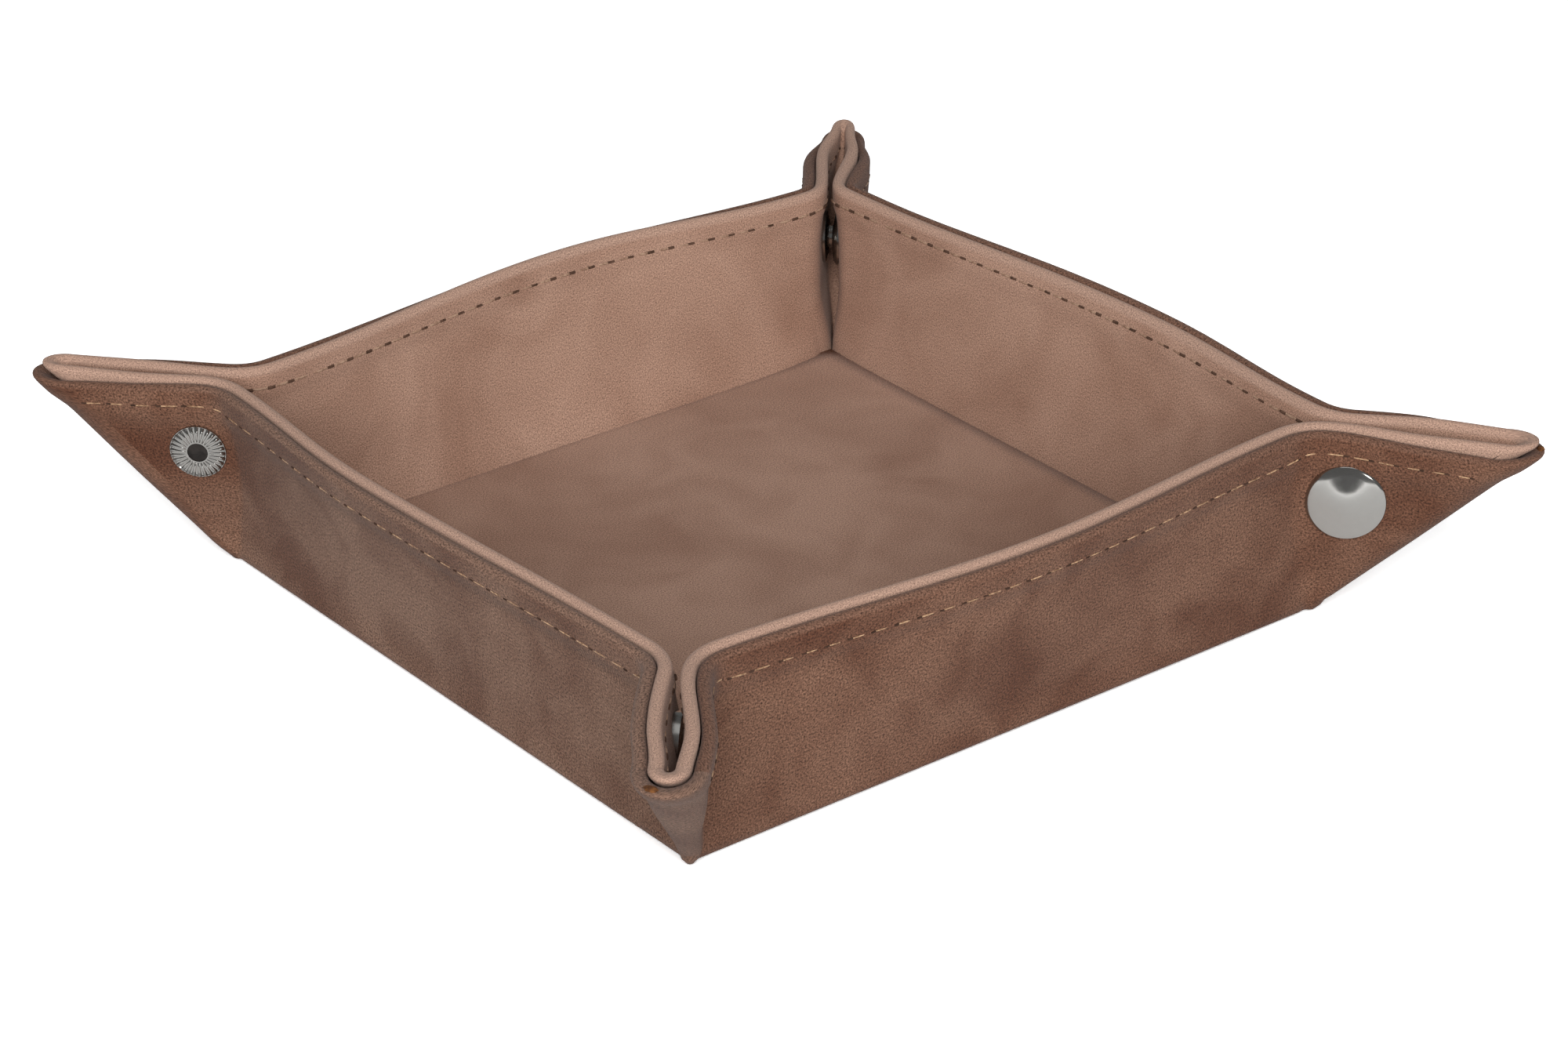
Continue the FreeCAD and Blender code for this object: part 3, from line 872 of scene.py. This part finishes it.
def makeRawTip(side):
    values = rawTips[side]
    middle = (layers["cover"]["face"] + layers["cover"]["hem"] + layers["cover"]["back"]) / 2
    spot, ahead = (turned(side, *sheetPoint(side, "cap", middle, tray["topZ"], "fold", at))
                   for at in (values["at"], values["at"] + ragged["aheadBy"]))
    bm = bmesh.new()
    bmesh.ops.create_icosphere(bm, subdivisions=ragged["divisions"], radius=1.0)
    for vert in bm.verts:
        x, y, z = vert.co
        fray = 1 + ragged["depth"] * math.sin(7 * x + 3 * y) * math.cos(5 * y - 2)
        vert.co = Vector((x * values["long"] * fray, y * values["wide"] * fray, z * values["tall"])) * mm
    along = (ahead - spot).normalized()
    up = Vector((0, 0, 1))
    bm.transform(Matrix.Translation(spot) @ Matrix((along, up.cross(along), up)).transposed().to_4x4())
    for face in bm.faces:
        face.smooth = True
    piece = pieceFrom(side + "_raw_tip", bm, fibre["rawEdge"])
    bendWithFold(piece)


for side in rawTips:
    makeRawTip(side)


# snaps: turned caps, posts and studs seated on the ears, the posts with a ring of ribs; a shape is
# radius and height along its outline, and near is where the lie of the leaf is felt round the snap
snap = {"along": 8.6, "height": 21.5, "sides": 64, "radius": {"cap": 6.2, "post": 4.6},
        "sink": {"cap": 0.12, "post": 0.08}, "near": 4.0, "feelers": 16, "mostClear": 1.0}
capShape = [(0.0, 1.95), (1.0, 1.89), (2.0, 1.7), (3.0, 1.43), (4.0, 1.13), (5.0, 0.83), (5.9, 0.56),
            (6.2, 0.4), (6.36, 0.2), (6.4, 0.02), (6.25, -0.14), (5.6, -0.22), (1.6, -0.22), (1.6, -3.4),
            (0.0, -3.4)]
postShape = [(1.62, -3.2), (1.62, 0.42), (1.68, 0.52), (1.8, 0.55), (1.95, 0.5), (3.4, 0.34), (4.3, 0.2),
             (4.42, 0.3), (4.56, 0.28), (4.66, 0.12), (4.64, -0.06), (4.6, -0.1), (4.4, -0.14),
             (2.2, -0.15), (2.2, -3.2)]
studShape = [(0.0, 3.0), (1.6, 3.0), (2.2, 2.75), (2.45, 2.35), (2.45, 1.95), (2.0, 1.6), (2.0, 1.0),
             (3.1, 1.0), (3.3, 0.85), (4.5, 0.72), (4.7, 0.55), (4.7, 0.1), (4.4, -0.1), (0.0, -0.1)]
# a disc that closes the post's bore just below its lip: painted shade of the hollow post
boreShadeShape = [(0.0, 0.3), (1.66, 0.3), (1.66, 0.1), (0.0, 0.1)]
ribRing = {"count": 28, "from": 1.8, "to": 4.4, "tall": 0.43, "thin": 0.15, "thick": 0.35, "slope": 7.0,
           "sides": 10, "flat": 0.75}


def leafSpot(side, end, layer, along, z):  # a point of a layer's face on an ear leaf
    hand, ear = earOf(side, end)
    reach, depth = spans(side)
    out = layers[layer]["face"]
    run = leafRun(side, end, out, z)
    gap = leafGap(ear, run, out, clamp((along - run["leafT"]) / (run["foldT"] - run["leafT"])))
    return turned(side, hand * (reach + (along - gap) / root2), depth + (along + gap) / root2, z)


def snapSeat(side, end, layer):  # square to the leaf, and clear of it all round
    def feel(x, z):
        return leafSpot(side, end, layer, snap["along"] + x, snap["height"] + z)

    near = snap["near"]
    spot = feel(0, 0)
    level = feel(near, 0) - feel(-near, 0)
    rise = feel(0, near) - feel(0, -near)
    outward = level.cross(rise).normalized()
    if (end == "post") == (layer == "cover"):
        outward.negate()
    radius = snap["radius"][end]
    clear = 0.0
    for k in range(snap["feelers"]):
        angle = 2 * math.pi * k / snap["feelers"]
        edge = feel(radius * math.cos(angle), radius * math.sin(angle))
        clear = max(clear, (edge - spot).dot(outward))
    spot = spot + outward * (min(clear, snap["mostClear"] * mm) - snap["sink"][end] * mm)
    up = (rise - outward * rise.dot(outward)).normalized()
    return Matrix.Translation(spot) @ Matrix((up.cross(outward), up, outward)).transposed().to_4x4()


def latheMesh(name, shape, matrix, material, closed=False):
    bm = bmesh.new()
    sides = snap["sides"]
    angles = [2 * math.pi * k / sides for k in range(sides)]
    rings = []
    for radius, height in shape:
        if radius == 0:
            rings.append([bm.verts.new((0, 0, height * mm))])
            continue
        rings.append([bm.verts.new((radius * mm * math.cos(a), radius * mm * math.sin(a), height * mm))
                      for a in angles])
    pairs = list(zip(rings, rings[1:]))
    if closed:
        pairs.append((rings[-1], rings[0]))
    for a, b in pairs:
        for k in range(sides):
            n = (k + 1) % sides
            corners = [a[k % len(a)], a[n % len(a)], b[n % len(b)], b[k % len(b)]]
            unique = list(dict.fromkeys(corners))
            if len(unique) > 2:
                bm.faces.new(unique)
    bmesh.ops.recalc_face_normals(bm, faces=bm.faces)
    for face in bm.faces:
        face.smooth = True
    for edge in bm.edges:
        if len(edge.link_faces) == 2 and edge.calc_face_angle() > sharpAngle["metal"]:
            edge.smooth = False
    bm.transform(matrix)
    return pieceFrom(name, bm, material)


def nodeTree(name, inputs):
    tree = bpy.data.node_groups.new(name, "GeometryNodeTree")
    tree.interface.new_socket("Geometry", in_out="INPUT", socket_type="NodeSocketGeometry")
    for label, kind in inputs:
        tree.interface.new_socket(label, in_out="INPUT", socket_type="NodeSocket" + kind)
    tree.interface.new_socket("Geometry", in_out="OUTPUT", socket_type="NodeSocketGeometry")
    return tree, addNode(tree, "NodeGroupInput"), addNode(tree, "NodeGroupOutput")


def finishTree(tree, place, source, result):
    realize = addNode(tree, "GeometryNodeRealizeInstances")
    paint = addNode(tree, "GeometryNodeSetMaterial")
    wire(tree, (place, "Instances", realize, "Geometry"), (realize, "Geometry", paint, "Geometry"),
         (source, "Material", paint, "Material"), (paint, "Geometry", result, "Geometry"))


def runTree(piece, tree, **values):  # apply the tree and leave a plain mesh
    modifier = piece.modifiers.new(tree.name, "NODES")
    modifier.node_group = tree
    sockets = {item.name: item.identifier for item in tree.interface.items_tree if item.in_out == "INPUT"}
    for label, value in values.items():
        modifier[sockets[label]] = value
    bpy.context.view_layer.update()
    graph = bpy.context.evaluated_depsgraph_get()
    mesh = bpy.data.meshes.new_from_object(piece.evaluated_get(graph))
    piece.modifiers.clear()
    old = piece.data
    piece.data = mesh
    bpy.data.meshes.remove(old)
    mesh.name = piece.name
    mesh.shade_smooth()
    return piece


def ribTree():  # wedge ribs that widen outward, laid round the flange
    tree, source, result = nodeTree("ribRing", (
        ("Count", "Int"), ("From", "Float"), ("To", "Float"), ("Tall", "Float"), ("Thin", "Float"),
        ("Thick", "Float"), ("Slope", "Float"), ("Material", "Material")))
    circle = addNode(tree, "GeometryNodeMeshCircle")
    circle.inputs["Radius"].default_value = 0.1 * mm
    length = addMath(tree, "SUBTRACT")
    wedge = addNode(tree, "GeometryNodeMeshCone")
    setInputs(wedge, Vertices=ribRing["sides"])
    lay = addNode(tree, "GeometryNodeTransform")
    turn = addMath(tree, "SUBTRACT")
    turn.inputs[0].default_value = math.pi / 2
    tilt = addNode(tree, "ShaderNodeCombineXYZ")
    spot = addNode(tree, "ShaderNodeCombineXYZ")
    raised = addNode(tree, "GeometryNodeTransform")
    raised.inputs["Scale"].default_value = (1.0, 1.0, ribRing["flat"])
    place = addNode(tree, "GeometryNodeInstanceOnPoints")
    where = addNode(tree, "GeometryNodeInputPosition")
    aim = addNode(tree, "FunctionNodeAlignRotationToVector", axis="X")
    wire(tree, (source, "Count", circle, "Vertices"), (source, "To", length, 0),
         (source, "From", length, 1), (length, 0, wedge, "Depth"),
         (source, "Thin", wedge, "Radius Bottom"), (source, "Thick", wedge, "Radius Top"),
         (source, "Slope", turn, 1), (turn, 0, tilt, "Y"), (source, "From", spot, "X"),
         (source, "Tall", spot, "Z"), (wedge, "Mesh", lay, "Geometry"), (tilt, 0, lay, "Rotation"),
         (lay, "Geometry", raised, "Geometry"), (spot, 0, raised, "Translation"),
         (circle, "Mesh", place, "Points"), (raised, "Geometry", place, "Instance"),
         (where, "Position", aim, "Vector"), (aim, "Rotation", place, "Rotation"))
    finishTree(tree, place, source, result)
    return tree


ribs = ribTree()


def makeSnap(side):
    cap = latheMesh(side + "_cap_dome", capShape, snapSeat(side, "cap", "cover"), metal["nickelCap"])
    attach(cap, side + "_cap_leaf")
    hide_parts(side + "_snap_cap")
    seat = snapSeat(side, "post", "cover")
    inner = snapSeat(side, "post", "lining")
    ring = latheMesh(side + "_post_ring", postShape, seat, metal["nickelRing"], closed=True)
    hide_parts(side + "_snap_post")
    stud = latheMesh(side + "_post_stud", studShape, inner, metal["nickelRing"])
    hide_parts(side + "_snap_stud")
    # painted shade: a near-black disc inside the post's bore
    tube = latheMesh(side + "_post_tube", boreShadeShape, seat, fibre["boreShadeBlack"])
    mesh = bpy.data.meshes.new(side + "_post_ribs")
    mesh.from_pydata([(0, 0, 0)], [], [])
    fan = addPiece(mesh.name, mesh)
    sizes = {name.title(): ribRing[name] * mm for name in ("from", "to", "tall", "thin", "thick")}
    runTree(fan, ribs, Count=ribRing["count"], Slope=-math.radians(ribRing["slope"]),
            Material=metal["nickelRing"], **sizes)
    fan.data.transform(seat)
    for piece in (ring, stud, tube, fan):
        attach(piece, side + "_post_leaf")


for side in walls:
    makeSnap(side)
    paintNode(side + "_snap_socket", metal["nickelRing"])
print("snaps ready")


# stitches along the hems, with dark marks between them as painted shade of the needle holes
stitches = {
    "cover": {"length": 3.4, "radius": 0.12, "rise": 0.17, "dip": -0.16, "material": "goldThread"},
    "lining": {"length": 2.7, "radius": 0.2, "rise": 0.2, "dip": -0.2, "material": "tanThread"},
}
# the needle holes drawn as dark marks on the surface: painted shade
needleHoles = {
    "cover": {"length": 0.8, "radius": 0.18, "rise": 0.05, "dip": -0.05, "material": "needleHoleShade"},
    "lining": {"length": 1.25, "radius": 0.24, "rise": 0.05, "dip": -0.05, "material": "softHoleShade"},
}
sewing = {"sides": 6, "seed": 11, "least": (0.88, 0.8, 0.7), "most": (1.05, 1.2, 1.2),
          "leafSteps": 20, "leafEnd": 0.96, "wallSteps": 80}


def stitchTree():
    tree, source, result = nodeTree("hemStitches", (
        ("Count", "Int"), ("Length", "Float"), ("Rise", "Float"), ("Dip", "Float"),
        ("Thread", "Float"), ("Material", "Material")))
    curve = addNode(tree, "GeometryNodeMeshToCurve")
    spaced = addNode(tree, "GeometryNodeResampleCurve")
    half = addMath(tree, "MULTIPLY", 0.5)
    back = addMath(tree, "MULTIPLY", -0.5)
    start = addNode(tree, "ShaderNodeCombineXYZ")
    middle = addNode(tree, "ShaderNodeCombineXYZ")
    end = addNode(tree, "ShaderNodeCombineXYZ")
    arch = addNode(tree, "GeometryNodeCurveQuadraticBezier")
    arch.inputs["Resolution"].default_value = sewing["sides"]
    profile = addNode(tree, "GeometryNodeCurvePrimitiveCircle")
    profile.inputs["Resolution"].default_value = sewing["sides"]
    thread = addNode(tree, "GeometryNodeCurveToMesh")
    thread.inputs["Fill Caps"].default_value = True
    outward = addNode(tree, "GeometryNodeInputNamedAttribute", data_type="FLOAT_VECTOR")
    outward.inputs["Name"].default_value = "faceOut"
    tangent = addNode(tree, "GeometryNodeInputTangent")
    aim = addNode(tree, "FunctionNodeAlignRotationToVector", axis="X")
    stand = addNode(tree, "FunctionNodeAlignRotationToVector", axis="Z", pivot_axis="X")
    wobble = addNode(tree, "FunctionNodeRandomValue", data_type="FLOAT_VECTOR")
    wobble.inputs["Min"].default_value = sewing["least"]
    wobble.inputs["Max"].default_value = sewing["most"]
    wobble.inputs["Seed"].default_value = sewing["seed"]
    place = addNode(tree, "GeometryNodeInstanceOnPoints")
    wire(tree, (source, "Geometry", curve, "Mesh"), (curve, "Curve", spaced, "Curve"),
         (source, "Count", spaced, "Count"), (source, "Length", half, 0),
         (source, "Length", back, 0), (back, 0, start, "X"), (half, 0, end, "X"),
         (source, "Dip", start, "Z"), (source, "Dip", end, "Z"), (source, "Rise", middle, "Z"),
         (start, 0, arch, "Start"), (middle, 0, arch, "Middle"), (end, 0, arch, "End"),
         (source, "Thread", profile, "Radius"), (arch, "Curve", thread, "Curve"),
         (profile, "Curve", thread, "Profile Curve"), (tangent, "Tangent", aim, "Vector"),
         (aim, "Rotation", stand, "Rotation"), (outward, "Attribute", stand, "Vector"),
         (spaced, "Curve", place, "Points"), (thread, "Mesh", place, "Instance"),
         (stand, "Rotation", place, "Rotation"), (wobble, "Value", place, "Scale"))
    finishTree(tree, place, source, result)
    return tree


hemStitches = stitchTree()


# points and outward normals along the stitch line of a wall, or from its seam onto an ear leaf
def stitchPath(side, layer, end):
    reach, depth = spans(side)
    sewn = walls[side]["sewn"] if layer == "lining" else layers[layer]["sewn"]
    z = tray["topZ"] - sewn
    out = faceDepth(layer, z)
    if end:
        steps = sewing["leafSteps"]
        path = turnColumns + [("leaf", sewing["leafEnd"] * i / steps) for i in range(steps + 1)]
        spots = []
        for k, (part, q) in enumerate(path):
            z = tray["topZ"] - mix(sewn, layers[layer]["earSewn"], smooth(0, len(turnColumns), k))
            spots.append(sheetPoint(side, end, out, z, part, q))
    else:
        half = reach - earRule["seamIn"] - stitchPitch
        steps = sewing["wallSteps"]
        along = [mix(-half, half, k / steps) for k in range(steps + 1)]
        spots = [(x, depth + lift(side, x, z) + out, z + crestLift(side, layer, x, z)) for x in along]
    points, normals = [], []
    turn = earOf(side, end)[0] * (-1 if layer == "lining" else 1)
    for k, (x, y, height) in enumerate(spots):
        a, b = spots[max(k - 1, 0)], spots[min(k + 1, len(spots) - 1)]
        normal = Vector((a[1] - b[1], b[0] - a[0])).normalized() * turn
        points.append(turned(side, x, y, height))
        normals.append(turned(side, normal.x, normal.y, 0).normalized())
    return points, normals


def pathObject(name, points, normals):
    mesh = bpy.data.meshes.new(name)
    mesh.from_pydata(points, [(i, i + 1) for i in range(len(points) - 1)], [])
    attribute = mesh.attributes.new("faceOut", "FLOAT_VECTOR", "POINT")
    for item, normal in zip(attribute.data, normals):
        item.vector = normal
    return addPiece(name, mesh)


def sewRow(side, layer, end):
    points, normals = stitchPath(side, layer, end)
    length = sum((p - q).length for p, q in zip(points, points[1:]))
    count = round(length / (stitchPitch * mm)) + 1
    name = "_".join(filter(None, (side, end, "stitches", layer)))
    step = 0.5 * stitchPitch * mm
    shifted = [p + (q - p).normalized() * step for p, q in zip(points, points[1:])]
    row = pathObject(name, points, normals)
    holes = pathObject(name + "_hole_shades", shifted, normals[:-1])
    for piece, values in ((row, stitches[layer]), (holes, needleHoles[layer])):
        runTree(piece, hemStitches, Count=count, Length=values["length"] * mm, Rise=values["rise"] * mm,
                Dip=values["dip"] * mm, Thread=values["radius"] * mm, Material=fibre[values["material"]])
        if end:
            bendWithLeaf(piece)
        else:
            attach(piece, side + "_wall")


for side in walls:
    for layer in layers:
        for end in ("", "cap", "post"):
            sewRow(side, layer, end)
print("stitches ready")


# floor, light and camera
stage = {"floor": 3.0, "below": 0.0004, "white": 0.5, "mirrorWhite": 0.9, "seenWhite": 1.7,
         "roughness": 0.9, "horizon": 0.72, "zenith": 0.2, "zenithAt": 0.8, "mirrorSky": 0.16}
lamps = {
    "softboxKey": {"at": (-0.86, -1.02, 0.8), "size": 1.0, "power": 29.0, "mirrored": False},
    "softboxTop": {"at": (0.1, -0.1, 1.4), "size": 0.9, "power": 1.5, "mirrored": True},
    "softboxSmall": {"at": (-0.22, -1.1, 0.36), "size": 0.2, "power": 1.5, "mirrored": True},
}
view = {"azimuth": -39.008, "elevation": 27.247, "roll": 0.46, "distance": 719.47, "slideX": -2.403,
        "slideY": -9.779, "lens": 102.668, "sensor": 36, "clip": 0.01}


def makeFloor():
    mesh = bpy.data.meshes.new("studio_floor")
    corners = ((-1, -1), (1, -1), (1, 1), (-1, 1))
    spots = [(x * stage["floor"], y * stage["floor"], -stage["below"]) for x, y in corners]
    mesh.from_pydata(spots, [], [(0, 1, 2, 3)])
    material, tree, shader = newMaterial("floorWhite")
    path = addNode(tree, "ShaderNodeLightPath")
    plain = colourMix(tree, (stage["white"],) * 3, (stage["mirrorWhite"],) * 3)
    tone = colourMix(tree, None, (stage["seenWhite"],) * 3)
    wire(tree, (path, "Is Glossy Ray", plain, "Factor"), (plain, "Result", tone, "A"),
         (path, "Is Camera Ray", tone, "Factor"), (tone, "Result", shader, "Base Color"))
    setInputs(shader, Roughness=stage["roughness"], Specular_IOR_Level=0.0)
    mesh.materials.append(material)
    floor = addPiece("studio_floor", mesh)


def makeWorld():  # light from the horizon, darker overhead, plain white behind the object
    world = bpy.data.worlds.new("studio")
    world.use_nodes = True
    tree = world.node_tree
    tree.nodes.clear()
    coords = addNode(tree, "ShaderNodeTexCoord")
    split = addNode(tree, "ShaderNodeSeparateXYZ")
    rise = addNode(tree, "ShaderNodeMapRange", interpolation_type="SMOOTHSTEP")
    setInputs(rise, From_Max=stage["zenithAt"], To_Min=stage["horizon"], To_Max=stage["zenith"])
    path = addNode(tree, "ShaderNodeLightPath")
    back = addNode(tree, "ShaderNodeBackground")
    plain = addNode(tree, "ShaderNodeBackground")
    dim = addNode(tree, "ShaderNodeBackground")
    mirror = addNode(tree, "ShaderNodeMixShader")
    pick = addNode(tree, "ShaderNodeMixShader")
    result = addNode(tree, "ShaderNodeOutputWorld")
    setInputs(back, Color=(1, 1, 1, 1))
    setInputs(plain, Color=(1, 1, 1, 1), Strength=1.0)
    setInputs(dim, Color=(1, 1, 1, 1), Strength=stage["mirrorSky"])
    wire(tree, (coords, "Generated", split, 0), (split, "Z", rise, "Value"),
         (rise, "Result", back, "Strength"), (path, "Is Camera Ray", pick, "Fac"),
         (path, "Is Glossy Ray", mirror, "Fac"), (back, 0, mirror, 1), (dim, 0, mirror, 2),
         (mirror, 0, pick, 1), (plain, 0, pick, 2), (pick, 0, result, "Surface"))
    bpy.context.scene.world = world


def makeLamp(name):
    values = lamps[name]
    data = bpy.data.lights.new(name, "AREA")
    data.energy = values["power"]
    data.size = values["size"]
    lamp = bpy.data.objects.new(name, data)
    lamp.visible_glossy = values["mirrored"]
    lamp.location = values["at"]
    lamp.rotation_euler = (-Vector(values["at"])).to_track_quat("-Z", "Y").to_euler()
    bpy.context.collection.objects.link(lamp)


def makeCamera():
    az, el, roll = (math.radians(view[k]) for k in ("azimuth", "elevation", "roll"))
    back = Vector((math.sin(az) * math.cos(el), -math.cos(az) * math.cos(el), math.sin(el)))
    level = Vector((math.cos(az), math.sin(az), 0))
    rise = back.cross(level)
    right = math.cos(roll) * level + math.sin(roll) * rise
    up = -math.sin(roll) * level + math.cos(roll) * rise
    spot = (view["distance"] * back - view["slideX"] * right - view["slideY"] * up) * mm
    data = bpy.data.cameras.new("photoView")
    data.sensor_fit = "HORIZONTAL"
    data.sensor_width = view["sensor"]
    data.lens = view["lens"]
    data.clip_start = view["clip"]
    camera = bpy.data.objects.new("photoView", data)
    camera.matrix_world = Matrix.Translation(spot) @ Matrix((right, up, back)).transposed().to_4x4()
    bpy.context.collection.objects.link(camera)
    bpy.context.scene.camera = camera


makeFloor()
makeWorld()
for name in lamps:
    makeLamp(name)
makeCamera()
bpy.context.scene.view_settings.view_transform = "Standard"
print("stage ready")
